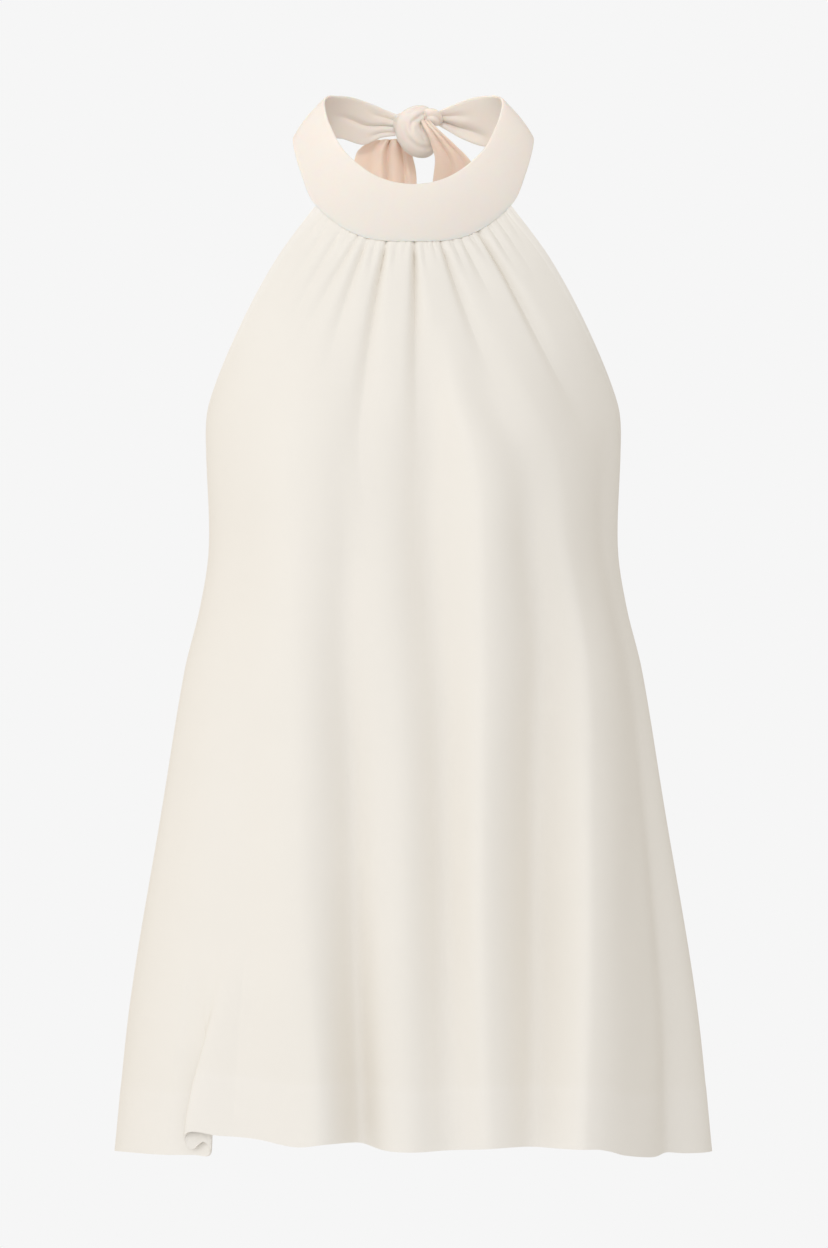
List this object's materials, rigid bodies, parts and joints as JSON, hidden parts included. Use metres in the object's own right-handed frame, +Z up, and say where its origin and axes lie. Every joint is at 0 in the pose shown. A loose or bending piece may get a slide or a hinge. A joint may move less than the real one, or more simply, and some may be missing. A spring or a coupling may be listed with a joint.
{
  "type": "halter neck top",
  "caption": "Sleeveless flared halter top with a wide neckband gathered at the front and knotted at the nape, open upper back.",
  "frame": {"origin": "centre of the neck opening, where the garment is held", "axes": "+Z up, the front faces -Y, +X to the right seen from the front"},
  "size_m": [0.4472, 0.3072, 0.7952],
  "materials": {
    "crepe": "soft matt crepe, warm cream",
    "crepe_band": "soft matt crepe in two layers, warm cream"
  },
  "bodies": {
    "root": {"front_panel": "crepe", "back_panel": "crepe", "neckband": "crepe_band", "knot": "crepe_band", "tail_left": "crepe_band", "tail_right": "crepe_band"}
  },
  "joints": []
}
